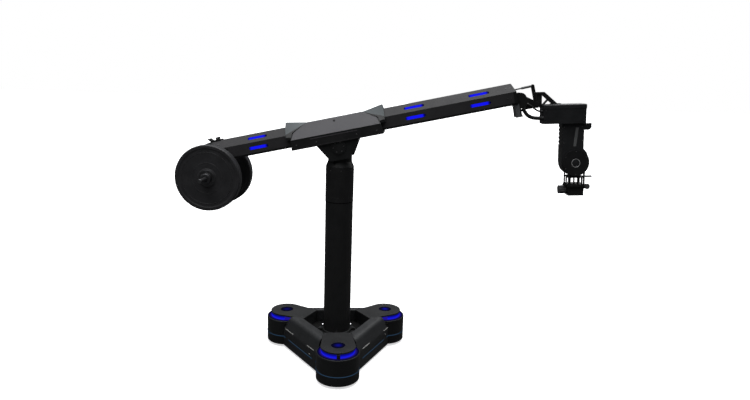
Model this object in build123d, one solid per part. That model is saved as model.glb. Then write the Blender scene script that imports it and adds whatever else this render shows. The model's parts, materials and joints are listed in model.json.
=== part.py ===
from build123d import *
import os
from math import acos, cos, degrees, pi, radians, sin, sqrt, tan

# Motorised pedestal camera crane: three-pod wheeled base, column with a pan drum, counterweighted
# boom, levelled nose and an under-slung remote head.
# Millimetres. Origin on the floor under the column axis, +Z up, +X along the boom to the head.

# ---- base -------------------------------------------------------------------------------
BASE_YAW = 8.4              # the base stands turned by this much under the boom
POD_REACH = 439.0           # column axis to pod axis
POD_R = 147.5
POD_RIM_Z = 203.0
SKIRT_Z = 18.0
SHELL_WALL = 4.5
LID_TOP_Z = 245.0
LID_T = 12.0
LID_R = 119.0
LAMP_R = 48.0               # round lamp in the middle of each lid
TRENCH_R = 139.0            # recess in the beam covers beside a lid
TRENCH_REACH = 402.0
LID_NECK_HALF = 98.0        # half width of a lid where it meets the well
WELL_LID_DIST = 228.0       # column axis to the lid side of the well
WELL_BEAM_DIST = 199.0      # column axis to the beam side of the well
BEAM_FACE_DIST = 306.0      # column axis to the outer face of a beam
BEAM_CREST_DIST = 268.0
BEAM_WAIST_Z = 150.0
LIGHT_LINE_Z = 84.0
LIGHT_LINE_H = 5.0
CHASSIS_Z = 140.0
CHASSIS_T = 12.0
GAP = 0.3                   # running clearance between separate pieces
POD_ANGLES = {"front": -90.0 + BASE_YAW, "right": 30.0 + BASE_YAW, "left": 150.0 + BASE_YAW}
BEAM_ANGLES = {"right": -30.0 + BASE_YAW, "rear": 90.0 + BASE_YAW, "left": 210.0 + BASE_YAW}

# ---- wheels -----------------------------------------------------------------------------
WHEEL_R = 62.5
WHEEL_W = 40.0
HUB_R = 44.0
AXLE_R = 8.0
KINGPIN_R = 20.0
FORK_HALF = 27.0            # wheel plane to the inside of a fork cheek
FORK_T = 8.0
FORK_TOP_Z = 136.0
MOTOR_R = 27.0
MOTOR_L = 42.0

# ---- column -----------------------------------------------------------------------------
COLUMN_R = 98.0
COLUMN_WALL = 6.0
COLUMN_FOOT_Z = 156.0
FOOT_R = 144.0
FOOT_T = 8.0
STUD_REACH = 120.0
STUD_R = 11.0
DRUM_R = 99.5
DRUM_Z = 1148.0
SHOULDER_Z = 1397.0
NECK_R = 84.0
NECK_TOP_Z = 1470.0
PIVOT_Z = 1540.0
TONGUE_HALF_Y = 52.0
TONGUE_R = 58.0
SHAFT_R = 25.0
LEVER = 126.1               # pivot to level-rod pin, the same at the column and at the nose
LEVER_LEAN = 14.7           # both levers lean back by this much

# ---- boom, drawn level about its pivot and then raised ------------------------------------
BOOM_REST = 12.8
BOOM_FACE_Y = 75.0
BOOM_LOW = 66.0
BOOM_CHAMFER = 14.0
BOOM_EAVE = 140.0
BOOM_RIDGE = 195.0
BOOM_RIDGE_Y = 30.0
BOOM_WALL = 4.0
BOOM_REAR = -880.0
BOOM_FRONT = 1216.0
TUBE_ROOT = 206.0
LIGHT_STATIONS = (-553.0, 553.0, 993.0)
SLOT_L = 140.0
SLOT_H = 20.0

# ---- centre housing -----------------------------------------------------------------------
HOUSE_Y = 120.0
HOUSE_LOW = 33.0
HOUSE_EAVE = 102.0
HOUSE_RIDGE = 199.0
HOUSE_RIDGE_Y = 32.0
HOUSE_WALL = 5.0
PLATE_GAP = 0.05            # cover plates lie on the roof facets
TOP_PLATE_T = 2.95
HOUSE_SIDE = [(320, HOUSE_LOW), (314, HOUSE_EAVE), (298, 150), (203, HOUSE_RIDGE)]
KEEL_Y_IN = 88.0
KEEL_Y_OUT = 108.0
KEEL_R = 88.0
KEEL_LOW = -90.0
KEEL_TOP_HALF = 152.0
KEEL_SLOPE = 0.62           # half width lost for each millimetre down

# ---- counterweight ------------------------------------------------------------------------
WEIGHT_S = -930.0
WEIGHT_H = -38.0
WEIGHT_R = 229.0
WEIGHT_T = 65.0
DISH = 3.0
WEIGHT_IN_Y = 110.0
WEIGHT_BORE_R = 25.2
ROD_R = 15.0
ROD_END_R = 14.5            # the rod's ends are turned down outside the clamp collars
ROD_STEP_Y = 208.0
ROD_HALF = 318.0
HANGER_T = 12.0
EAR_H = 24.0

# ---- nose and head, drawn upright and then leaned about the nose pivot ----------------------
NOSE_X = 1325.0
NOSE_Z = 1868.0
NOSE_LEAN = 3.4
CHEEK_IN = 31.0             # inside faces of the nose clevis
CHEEK_T = 13.0
NOSE_PIN_R = 11.0
CAP_L = 22.0                # length of the boom's sloping front cap
ROD_EYE_R = 5.0
BOX_X0, BOX_X1 = 1363.0, 1647.0
BOX_Z0, BOX_Z1 = 1738.0, 1838.0
BOX_LID_TOP = 1867.0
BOX_HALF_Y = 72.0
BOX_CORNER = 14.0
PAN_X = 1556.0
ARM_X0, ARM_X1 = 1493.0, 1638.0
ARM_TOP_Z = 1734.0
TILT_X = 1587.0
TILT_Z = 1472.0
ARM_DISC_R = 93.0
ARM_HALF_Y = 52.0
ARM_WALL = 6.0
CRADLE_Y = 56.0
CRADLE_T = 8.0
TILT_COVER_R = 89.0
POST_R = 5.5
POST_PITCH = 26.0
POST_Y = 50.0
CRADLE_X0, CRADLE_X1 = 1539.0, 1650.0
SIDE_KNOB_X = 21.0
SIDE_KNOB_Z = 1307.0
PLATE_Z = 1244.0            # underside of the camera plate

# ---- cables between the boom and the head: first points by the boom, the rest by the head ------
CABLE_Y = -52.0
LOWER_D = 25.0
LOWER_ROUTE = [(1234, 1836), (1253, 1804), (1285, 1783)], [(1322, 1777), (1362, 1777)]
UPPER_D = 12.0
UPPER_ROUTE = [(1258, 1868), (1284, 1861), (1307, 1841)], [(1336, 1822), (1366, 1822)]

nodes = {}


# ---- helpers --------------------------------------------------------------------------------
def block(x0, x1, y0, y1, z0, z1):
    """A box given by its limits."""
    return Pos((x0 + x1) / 2, (y0 + y1) / 2, (z0 + z1) / 2) * Box(x1 - x0, y1 - y0, z1 - z0)


def rod_z(radius, z0, z1, x=0.0, y=0.0):
    """A cylinder along Z."""
    return Pos(x, y, (z0 + z1) / 2) * Cylinder(radius, z1 - z0)


def rod_y(radius, y0, y1, x=0.0, z=0.0):
    """A cylinder along Y."""
    return Pos(x, (y0 + y1) / 2, z) * (Rot(90, 0, 0) * Cylinder(radius, y1 - y0))


def side_plate(points, y0, y1):
    """An XZ outline given thickness along Y."""
    face = make_face(Polyline(*[(x, 0, z) for x, z in points], close=True))
    return Pos(0, y1, 0) * extrude(face, amount=y1 - y0, dir=(0, -1, 0))


def section(points, x0, x1):
    """A YZ outline run along X."""
    face = make_face(Polyline(*[(x0, y, z) for y, z in points], close=True))
    return extrude(face, amount=x1 - x0, dir=(1, 0, 0))


def plan(sketch, z0, z1):
    """A plan outline given height."""
    return Pos(0, 0, z0) * extrude(sketch, amount=z1 - z0)


def turned(shape, angle):
    return Rot(0, 0, angle) * shape


def raised(shape):
    """Puts a piece drawn in the level boom frame where the boom rests."""
    return Pos(0, 0, PIVOT_Z) * (Rot(0, -BOOM_REST, 0) * shape)


def leaned(shape, x, z, angle):
    """Leans a piece back about a level axis through x, z."""
    return Pos(x, 0, z) * (Rot(0, -angle, 0) * (Pos(-x, 0, -z) * shape))


def hung(shape):
    """Puts a piece of the nose or the head, drawn upright, where it hangs."""
    return leaned(shape, NOSE_X, NOSE_Z, NOSE_LEAN)


def keep(name, shape):
    """Stores the solids of one sub-part under its node name."""
    solids = list(shape.solids())
    nodes[name] = solids[0] if len(solids) == 1 else Compound(children=solids)


def group(shapes):
    return Compound(children=[solid for shape in shapes for solid in shape.solids()])


# ---- base: plan outlines ----------------------------------------------------------------------
def lid_outline(grow=0.0):
    """Tongue-shaped plan of a lid along +X: straight tapering sides and a round end."""
    inner, reach, radius = WELL_LID_DIST - grow, POD_REACH, LID_R + grow
    neck = LID_NECK_HALF + grow
    sides = Polygon((inner, -neck), (reach, -radius), (reach, radius), (inner, neck), align=None)
    return sides + Pos(reach, 0) * Circle(radius)


def base_outline(grow=0.0):
    """Plan of the whole base: three pods joined by three beams."""
    outline = Sketch()
    for angle in POD_ANGLES.values():
        outline += Rot(0, 0, angle) * (Pos(POD_REACH, 0) * Circle(POD_R + grow))
    for angle in BEAM_ANGLES.values():
        depth = BEAM_FACE_DIST + grow
        half = POD_REACH * sin(pi / 3)
        outline += Rot(0, 0, angle) * (Pos(depth / 2, 0) * Rectangle(depth, 2 * half))
    return outline


def beam_cover(angle):
    """A hollow cover between two pods: flat crest at the well, convex shoulder, upright skirt."""
    def profile(inset):
        crest = LID_TOP_Z - inset
        inner = WELL_BEAM_DIST + inset
        face = BEAM_FACE_DIST - inset
        foot = SKIRT_Z if inset == 0 else SKIRT_Z - 5
        floor = CHASSIS_Z + CHASSIS_T + 1 if inset == 0 else SKIRT_Z - 5
        points = [(inner, 0, floor), (inner, 0, crest), (BEAM_CREST_DIST - inset / 2, 0, crest),
                  (face, 0, BEAM_WAIST_Z), (face, 0, foot)]
        if inset == 0:
            points += [(face - SHELL_WALL, 0, foot), (face - SHELL_WALL, 0, floor)]
        wire = FilletPolyline(*points, radius=[0, 6, 46 - inset, 60 - inset, 0] + [0] * (len(points) - 5),
                              close=True)
        return make_face(wire)
    half = POD_REACH * sin(pi / 3)
    outer = extrude(profile(0), amount=half, both=True)
    inner = extrude(profile(SHELL_WALL), amount=half, both=True)
    cover = outer - inner
    for side in (-1, 1):
        to_pod = Rot(0, 0, side * 60)
        cover -= to_pod * rod_z(POD_R + GAP, 0, 300, POD_REACH)
        cover -= to_pod * plan(lid_outline(1.5), 0, 300)
        cover -= to_pod * rod_z(TRENCH_R, 0, 300, TRENCH_REACH)
    return turned(cover, angle)


def pod_housing(angle):
    """A round skirt with a deck under the lid, open toward the middle of the base."""
    shell = rod_z(POD_R, SKIRT_Z, POD_RIM_Z, POD_REACH) \
        - rod_z(POD_R - SHELL_WALL, SKIRT_Z - 1, POD_RIM_Z - 5, POD_REACH)
    shell = chamfer(shell.edges().filter_by(GeomType.CIRCLE).group_by(Axis.Z)[0].sort_by(
        SortBy.RADIUS)[-1:], 3)
    rim = shell.edges().filter_by(GeomType.CIRCLE).group_by(Axis.Z)[-1]
    shell = fillet(rim, 4)
    shell -= rod_z(LID_R - 14, SKIRT_Z, POD_RIM_Z + 1, POD_REACH)
    shell -= block(0, POD_REACH - 20, -LID_NECK_HALF - 14, LID_NECK_HALF + 14, 0, 260)
    post = block(POD_REACH + LID_R - 4, POD_REACH + LID_R + 8, -12, 12, POD_RIM_Z, LID_TOP_Z - LID_T)
    return turned(shell + post, angle)


def lid(angle):
    """A flat tongue plate with a lip down to the well floor."""
    plate = plan(lid_outline(), LID_TOP_Z - LID_T, LID_TOP_Z)
    top_edges = plate.edges().group_by(Axis.Z)[-1]
    plate = fillet(top_edges, 2.5)
    lip = block(WELL_LID_DIST, WELL_LID_DIST + 4, -LID_NECK_HALF, LID_NECK_HALF,
                CHASSIS_Z + CHASSIS_T + 1, LID_TOP_Z - LID_T)
    lamp_seat = rod_z(LAMP_R + 0.2, LID_TOP_Z - 3, LID_TOP_Z + 1, POD_REACH)
    return turned(plate + lip - lamp_seat, angle)


def base_lights():
    """Light guides: a ring under each lid, a round lamp in each lid and a line round the base."""
    pieces = []
    for angle in POD_ANGLES.values():
        ring = rod_z(LID_R - 5, POD_RIM_Z + 0.2, LID_TOP_Z - LID_T - 0.2, POD_REACH) \
            - rod_z(LID_R - 10, POD_RIM_Z, LID_TOP_Z, POD_REACH)
        ring -= block(0, POD_REACH - 45, -LID_R, LID_R, POD_RIM_Z, LID_TOP_Z)
        lamp = rod_z(LAMP_R, LID_TOP_Z - 2.8, LID_TOP_Z - 0.4, POD_REACH)
        pieces += [turned(ring, angle), turned(lamp, angle)]
    line = plan(base_outline(1.4), LIGHT_LINE_Z, LIGHT_LINE_Z + LIGHT_LINE_H) \
        - plan(base_outline(0.1), LIGHT_LINE_Z - 1, LIGHT_LINE_Z + LIGHT_LINE_H + 1)
    return group(pieces + [line])


def chassis_frame():
    """One plate through the three pods, with a kingpin collar at each pod axis."""
    plate = rod_z(WELL_BEAM_DIST - 4, CHASSIS_Z, CHASSIS_Z + CHASSIS_T)
    bores = []
    for angle in POD_ANGLES.values():
        arm = block(0, POD_REACH, -90, 90, CHASSIS_Z, CHASSIS_Z + CHASSIS_T) \
            + rod_z(96, CHASSIS_Z, CHASSIS_Z + CHASSIS_T, POD_REACH) \
            + rod_z(34, CHASSIS_Z, CHASSIS_Z + 40, POD_REACH)
        plate += turned(arm, angle)
        bores.append(turned(rod_z(KINGPIN_R + 0.05, 100, 260, POD_REACH), angle))
    for bore in bores:
        plate -= bore
    return plate - rod_z(40, 100, 200)


def well_floor():
    """The dark floor plate of the hexagonal well."""
    floor_z = CHASSIS_Z + CHASSIS_T
    half_hex = WELL_BEAM_DIST - 1.5
    corner = sqrt(WELL_LID_DIST ** 2 + LID_NECK_HALF ** 2) - 3
    spread = degrees(acos(half_hex / corner))
    points = []
    for angle in BEAM_ANGLES.values():
        for turn in (-spread, spread):
            a = radians(angle + turn)
            points.append((corner * cos(a), corner * sin(a)))
    return plan(Polygon(*points, align=None), floor_z, floor_z + 4) - rod_z(COLUMN_R - 20, 140, 170)


def column_flange():
    """Foot ring of the column with stiffening webs."""
    foot = rod_z(FOOT_R, COLUMN_FOOT_Z, COLUMN_FOOT_Z + FOOT_T)
    foot += rod_z(COLUMN_R + 8, COLUMN_FOOT_Z, COLUMN_FOOT_Z + 30)
    foot = chamfer(foot.edges().filter_by(GeomType.CIRCLE).group_by(Axis.Z)[-1], 3)
    for step in range(6):
        web = block(COLUMN_R + 4, FOOT_R - 6, -4, 4, COLUMN_FOOT_Z + FOOT_T, COLUMN_FOOT_Z + 26)
        foot += turned(web, BASE_YAW + 60 * step)
    return foot - rod_z(COLUMN_R + 0.05, 100, 260)


def flange_studs():
    """Three polished dome nuts that clamp the column foot."""
    top = COLUMN_FOOT_Z + FOOT_T + 18
    dome = rod_z(STUD_R, COLUMN_FOOT_Z + FOOT_T, top, STUD_REACH) + Pos(STUD_REACH, 0, top) * Sphere(STUD_R)
    return group([turned(dome, angle) for angle in POD_ANGLES.values()])


# ---- wheels ---------------------------------------------------------------------------------
def drive_fork():
    """Steering fork about a pod axis, with its kingpin and drive motor case."""
    bridge = rod_z(52, FORK_TOP_Z - 9, FORK_TOP_Z)
    fork = bridge + rod_z(KINGPIN_R, FORK_TOP_Z - 4, FORK_TOP_Z + 52)
    for side in (-1, 1):
        y0, y1 = sorted((side * FORK_HALF, side * (FORK_HALF + FORK_T)))
        fork += block(-26, 26, y0, y1, WHEEL_R - 22, FORK_TOP_Z - 4)
    fork += rod_y(MOTOR_R, FORK_HALF + FORK_T, FORK_HALF + FORK_T + MOTOR_L, 0, WHEEL_R)
    axle_bore = rod_y(AXLE_R + 0.05, -80, FORK_HALF + FORK_T + 10, 0, WHEEL_R)
    return fork - axle_bore


def wheel_hub():
    """Wheel centre with its axle in one piece."""
    rim = rod_y(HUB_R, -WHEEL_W / 2 + 2, WHEEL_W / 2 - 2, 0, WHEEL_R)
    for side in (-1, 1):
        y0, y1 = sorted((side * 12, side * 40))
        rim -= rod_y(HUB_R - 8, y0, y1, 0, WHEEL_R)
    boss = rod_y(16, -FORK_HALF + 0.5, FORK_HALF - 0.5, 0, WHEEL_R)
    axle = rod_y(AXLE_R, -FORK_HALF - FORK_T - 2, FORK_HALF + FORK_T + 8, 0, WHEEL_R)
    return rim + boss + axle


def tyre():
    ring = rod_y(WHEEL_R, -WHEEL_W / 2, WHEEL_W / 2, 0, WHEEL_R)
    ring = fillet(ring.edges(), 5)
    return ring - rod_y(HUB_R, -40, 40, 0, WHEEL_R)


# ---- column ---------------------------------------------------------------------------------
def column_head():
    """Shoulder, neck and the upright tongue that carries the boom pivot and the level post."""
    cone = Pos(0, 0, SHOULDER_Z + 18) * Cone(DRUM_R - 1, NECK_R, 36, align=(Align.CENTER,) * 3)
    head = cone + rod_z(NECK_R, SHOULDER_Z + 36, NECK_TOP_Z)
    head += block(-TONGUE_R, TONGUE_R, -TONGUE_HALF_Y, TONGUE_HALF_Y, NECK_TOP_Z - 10, PIVOT_Z)
    head += rod_y(TONGUE_R, -TONGUE_HALF_Y, TONGUE_HALF_Y, 0, PIVOT_Z)
    post_top = PIVOT_Z + LEVER
    post = rod_y(6, -18, 18, 0, post_top)
    for y0, y1 in ((10, 18), (-18, -10)):
        post += block(-13, 13, y0, y1, PIVOT_Z + 40, post_top) + rod_y(13, y0, y1, 0, post_top)
    head += leaned(post, 0, PIVOT_Z, LEVER_LEAN)
    head -= rod_y(SHAFT_R + 4, -80, 80, 0, PIVOT_Z)
    return head - rod_z(60, SHOULDER_Z - 1, SHOULDER_Z + 30)


def pivot_bushes():
    """Two flanged bushes pressed in the tongue."""
    pieces = []
    for side in (-1, 1):
        y0, y1 = sorted((side * (TONGUE_HALF_Y - 30), side * (TONGUE_HALF_Y + 3)))
        f0, f1 = sorted((side * TONGUE_HALF_Y, side * (TONGUE_HALF_Y + 3)))
        bush = rod_y(SHAFT_R + 4, y0, y1, 0, PIVOT_Z) + rod_y(SHAFT_R + 11, f0, f1, 0, PIVOT_Z)
        pieces.append(bush - rod_y(SHAFT_R + 0.05, -90, 90, 0, PIVOT_Z))
    return group(pieces)


# ---- boom -----------------------------------------------------------------------------------
def boom_points(inset=0.0):
    """Cross-section of the boom: upright faces, sloping upper facets and a narrow ridge."""
    face = BOOM_FACE_Y - inset
    low = BOOM_LOW - BOOM_CHAMFER + inset
    rise = (BOOM_RIDGE - BOOM_EAVE) / (BOOM_FACE_Y - BOOM_RIDGE_Y)
    ridge = BOOM_RIDGE - inset
    eave = BOOM_EAVE - inset * 0.45
    ridge_y = face - (ridge - eave) / rise
    half = [(face - BOOM_CHAMFER, low), (face, BOOM_LOW + inset * 0.4), (face, eave), (ridge_y, ridge)]
    return half + [(-y, z) for y, z in reversed(half)]


def light_plane(side, upper, station):
    """Plane on a boom face or facet at a light station, facing out."""
    if not upper:
        return Plane(origin=(station, side * BOOM_FACE_Y, 100), x_dir=(1, 0, 0), z_dir=(0, side, 0))
    run, rise = BOOM_FACE_Y - BOOM_RIDGE_Y, BOOM_RIDGE - BOOM_EAVE
    size = sqrt(run ** 2 + rise ** 2)
    middle = (station, side * (BOOM_FACE_Y + BOOM_RIDGE_Y) / 2, (BOOM_EAVE + BOOM_RIDGE) / 2)
    return Plane(origin=middle, x_dir=(1, 0, 0), z_dir=(0, side * rise / size, run / size))


def light_planes(stations):
    return [light_plane(side, upper, s) for s in stations for side in (-1, 1) for upper in (False, True)]


def slot_solid(plane, shrink, low, high):
    outline = SlotOverall(SLOT_L - 2 * shrink, SLOT_H - 2 * shrink)
    return plane * (Pos(0, 0, low) * extrude(outline, amount=high - low))


def boom_tube(x0, x1, stations):
    tube = section(boom_points(), x0, x1) - section(boom_points(BOOM_WALL), x0 - 1, x1 + 1)
    for plane in light_planes(stations):
        tube -= slot_solid(plane, 0, -12, 2)
    return tube


def boom_lights():
    return group([slot_solid(plane, 0.3, -3.5, -0.6) for plane in light_planes(LIGHT_STATIONS)])


def house_points(inset=0.0):
    """Cross-section of the centre housing: upright faces and two steep roof facets."""
    face = HOUSE_Y - inset
    rise = (HOUSE_RIDGE - HOUSE_EAVE) / (HOUSE_Y - HOUSE_RIDGE_Y)
    ridge = HOUSE_RIDGE - inset
    eave = HOUSE_EAVE - inset * 0.4
    low = HOUSE_LOW if inset == 0 else HOUSE_LOW - 5
    half = [(face, low), (face, eave), (face - (ridge - eave) / rise, ridge)]
    return half + [(-y, z) for y, z in reversed(half)]


def house_side(inset=0.0):
    """Side outline of the centre housing with its slanted ends."""
    half = [(x - inset * 1.3, z if z < HOUSE_RIDGE else z + (5 if inset else 0)) for x, z in HOUSE_SIDE]
    if inset:
        half[0] = (half[0][0], HOUSE_LOW - 6)
    return half + [(-x, z) for x, z in reversed(half)]


def housing_shell(side):
    """Front or rear half of the centre housing."""
    outer = section(house_points(), -330, 330) & side_plate(house_side(), -130, 130)
    inner = section(house_points(HOUSE_WALL), -330, 330) & side_plate(house_side(HOUSE_WALL), -130, 130)
    shell = outer - inner
    for end in (-1, 1):
        x0, x1 = sorted((end * 200, end * 340))
        shell -= section([(y * 1.007, z + (0.5 if z > 100 else -0.5)) for y, z in boom_points()], x0, x1)
    y0, y1 = sorted((side * 0.1, side * 130))
    return shell & block(-340, 340, y0, y1, 0, 220)


def top_plates():
    """Two thin cover plates on the roof facets of the housing."""
    run, rise = HOUSE_Y - HOUSE_RIDGE_Y, HOUSE_RIDGE - HOUSE_EAVE
    size = sqrt(run ** 2 + rise ** 2)
    nx, nz = rise / size, run / size
    pieces = []
    for side in (-1, 1):
        low, high = PLATE_GAP, PLATE_GAP + TOP_PLATE_T
        band = [(side * (HOUSE_Y + low * nx), HOUSE_EAVE + low * nz),
                (side * (HOUSE_Y + high * nx), HOUSE_EAVE + high * nz),
                (side * (HOUSE_RIDGE_Y + high * nx), HOUSE_RIDGE + high * nz),
                (side * (HOUSE_RIDGE_Y + low * nx), HOUSE_RIDGE + low * nz)]
        outline = [(308, 96), (306, 108), (291, 150), (199, 203), (-199, 203), (-291, 150), (-306, 108),
                   (-308, 96)]
        pieces.append(section(band, -310, 310) & side_plate(outline, -140, 140))
    return group(pieces)


def end_fairing(end):
    """Raised collar that carries the housing roof out and up around the boom."""
    def hoop(x, ridge_y, ridge, face, eave):
        pts = [(face, 70), (face, eave), (ridge_y, ridge), (-ridge_y, ridge), (-face, eave), (-face, 70)]
        return make_face(Polyline(*[(x, y, z) for y, z in pts], close=True))
    body = loft([hoop(197, HOUSE_RIDGE_Y, HOUSE_RIDGE + 1, 117, 104), hoop(346, 34, 227, 100, 128)], ruled=True)
    body &= side_plate([(204.5, 199.6), (299.5, 151), (316, 103), (330, 72), (356, 110), (339, 240),
                        (200, 240)], -130, 130)
    body -= section([(y * 1.002, z + (0.15 if z > 100 else -0.15)) for y, z in boom_points()], 190, 360)
    body -= block(190, 360, -130, 130, 60, 108)
    return body if end > 0 else body.mirror(Plane.YZ)


def saddle_frame():
    """Casting under the housing: base plate, two keel plates, webs and a spigot for each tube."""
    frame = block(-300, 300, -114, 114, HOUSE_LOW + 0.5, 41) - block(-112, 112, -62, 62, 30, 45)

    def keel_half(h):
        return KEEL_TOP_HALF - KEEL_SLOPE * (41 - h)
    for side in (-1, 1):
        y0, y1 = sorted((side * KEEL_Y_IN, side * KEEL_Y_OUT))
        wedge = side_plate([(-keel_half(41), 41), (keel_half(41), 41), (keel_half(KEEL_LOW), KEEL_LOW),
                            (-keel_half(KEEL_LOW), KEEL_LOW)], y0, y1)
        frame += wedge + rod_y(KEEL_R, y0, y1)
        c0, c1 = sorted((side * KEEL_Y_OUT, side * 120))
        frame -= rod_y(51, c0, c1)
    spigot_points = boom_points(BOOM_WALL + 0.3)
    for end in (-1, 1):
        web = side_plate([(end * keel_half(36), 36), (end * (keel_half(36) - 8), 36),
                          (end * (keel_half(-4) - 8), -4), (end * keel_half(-4), -4)], -KEEL_Y_IN, KEEL_Y_IN)
        frame += web
        x0, x1 = sorted((end * 122, end * 330))
        spigot = section(spigot_points, x0, x1) & block(x0, x1, -80, 80, 40, 136)
        spigot -= block(x0 - 1, x1 + 1, -60, 60, 66, 128) + block(x0 - 1, x1 + 1, -26, 26, 100, 140)
        f0, f1 = sorted((end * 124, end * 200))
        frame += spigot + block(f0, f1, -56, 56, 40, 60)
    return frame - rod_y(SHAFT_R, -130, 130)


def pivot_shaft():
    return rod_y(SHAFT_R, -KEEL_Y_OUT, KEEL_Y_OUT)


def pivot_caps():
    """Round covers over the pivot bores of the keel plates."""
    pieces = []
    for y0, y1 in ((KEEL_Y_OUT, KEEL_Y_OUT + 5), (-KEEL_Y_OUT - 5, -KEEL_Y_OUT)):
        cap = rod_y(50, y0, y1)
        for x, z in cap_screw_places():
            cap -= rod_y(5.2, -130, 130, x, z)
        pieces.append(cap)
    return group(pieces)


def cap_screw_places():
    return [(36 * cos(radians(60 * step)), 36 * sin(radians(60 * step))) for step in range(6)]


def pivot_screws():
    """Socket screws of the pivot caps."""
    pieces = []
    for side in (-1, 1):
        y0, y1 = sorted((side * KEEL_Y_OUT, side * (KEEL_Y_OUT + 6.5)))
        s0, s1 = sorted((side * (KEEL_Y_OUT + 3.5), side * (KEEL_Y_OUT + 9)))
        for x, z in cap_screw_places():
            pieces.append(rod_y(5, y0, y1, x, z) - rod_y(2.6, s0, s1, x, z))
    return group(pieces)


# ---- counterweight ----------------------------------------------------------------------------
def rear_ears():
    """Saddle over the tube's end with an upright tab and two round posts."""
    back, front = BOOM_REAR - 14, BOOM_REAR + 60
    saddle = block(back, front, -34, 34, BOOM_RIDGE - 12, BOOM_RIDGE + 7)
    saddle += side_plate([(back, BOOM_RIDGE), (back - 20, BOOM_RIDGE + EAR_H), (back - 7, BOOM_RIDGE + EAR_H),
                          (back + 14, BOOM_RIDGE)], -30, 30)
    for y in (-20, 20):
        saddle += rod_z(10, BOOM_RIDGE, BOOM_RIDGE + EAR_H, BOOM_REAR + 34, y)
    return saddle - section(boom_points(-0.1), BOOM_REAR, front + 1)


def weight_bracket():
    """End casting of the boom: plug, top block and two hangers down to the weight rod."""
    plug = section(boom_points(BOOM_WALL + 0.3), BOOM_REAR - 1, BOOM_REAR + 90)
    cap = section(boom_points(), BOOM_REAR - 14, BOOM_REAR)
    casting = plug + cap + rear_ears()
    for side in (-1, 1):
        y0, y1 = sorted((side * (BOOM_FACE_Y + 0.2), side * (BOOM_FACE_Y + HANGER_T)))
        hanger = side_plate([(-770, 76), (-770, 132), (-904, 132), (WEIGHT_S - 34, WEIGHT_H + 10),
                             (WEIGHT_S + 34, WEIGHT_H - 16)], y0, y1)
        hanger += rod_y(40, y0, y1, WEIGHT_S, WEIGHT_H)
        casting += hanger
        t0, t1 = sorted((side * (BOOM_FACE_Y - 6), side * (BOOM_FACE_Y + HANGER_T)))
        casting += block(BOOM_REAR - 14, BOOM_REAR - 2, t0, t1, 76, 132)
    tie = rod_y(26, -BOOM_FACE_Y - 1, BOOM_FACE_Y + 1, WEIGHT_S, WEIGHT_H)
    return casting + tie - rod_y(ROD_R, -120, 120, WEIGHT_S, WEIGHT_H)


def weight_rod():
    bar = rod_y(ROD_END_R, -ROD_HALF, ROD_HALF, WEIGHT_S, WEIGHT_H)
    bar = chamfer(bar.edges().filter_by(GeomType.CIRCLE), 2)
    return bar + rod_y(ROD_R, -ROD_STEP_Y, ROD_STEP_Y, WEIGHT_S, WEIGHT_H)


def weight_plate(side):
    """A bumper plate: full-thickness rim, shallow dish and flush boss."""
    half = WEIGHT_T / 2
    outline = [(52, -half), (62, -half), (68, -half + DISH), (200, -half + DISH), (206, -half),
               (WEIGHT_R - 5, -half), (WEIGHT_R, -half + 6), (WEIGHT_R, half - 6), (WEIGHT_R - 5, half),
               (206, half), (200, half - DISH), (68, half - DISH), (62, half), (52, half)]
    face = make_face(Polyline(*[(r, 0, t) for r, t in outline], close=True))
    disc = revolve(face, Axis.Z)
    middle = side * (WEIGHT_IN_Y + half)
    return Pos(WEIGHT_S, middle, WEIGHT_H) * (Rot(90, 0, 0) * disc)


def weight_collars():
    """Steel hub inserts and the clamp collars on the weight rod."""
    pieces = []
    for side in (-1, 1):
        def span(a, b):
            return (a, b) if side > 0 else (-b, -a)
        hub = rod_y(51.9, *span(WEIGHT_IN_Y, WEIGHT_IN_Y + WEIGHT_T), WEIGHT_S, WEIGHT_H) \
            - rod_y(WEIGHT_BORE_R, -300, 300, WEIGHT_S, WEIGHT_H)
        inner = rod_y(34, *span(BOOM_FACE_Y + 12.1, WEIGHT_IN_Y - 0.1), WEIGHT_S, WEIGHT_H) \
            + rod_y(WEIGHT_BORE_R - 0.1, *span(WEIGHT_IN_Y - 1, WEIGHT_IN_Y + WEIGHT_T), WEIGHT_S, WEIGHT_H) \
            - rod_y(ROD_R, -300, 300, WEIGHT_S, WEIGHT_H)
        clamp = rod_y(36, *span(WEIGHT_IN_Y + WEIGHT_T + 0.1, WEIGHT_IN_Y + WEIGHT_T + 30), WEIGHT_S, WEIGHT_H) \
            - rod_y(ROD_R, -300, 300, WEIGHT_S, WEIGHT_H)
        pieces += [hub, inner, clamp]
    return group(pieces)


# ---- nose -----------------------------------------------------------------------------------
def nose_local():
    """Nose pivot in the level boom frame."""
    a = radians(BOOM_REST)
    dx, dz = NOSE_X, NOSE_Z - PIVOT_Z
    return dx * cos(a) + dz * sin(a), -dx * sin(a) + dz * cos(a)


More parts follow.
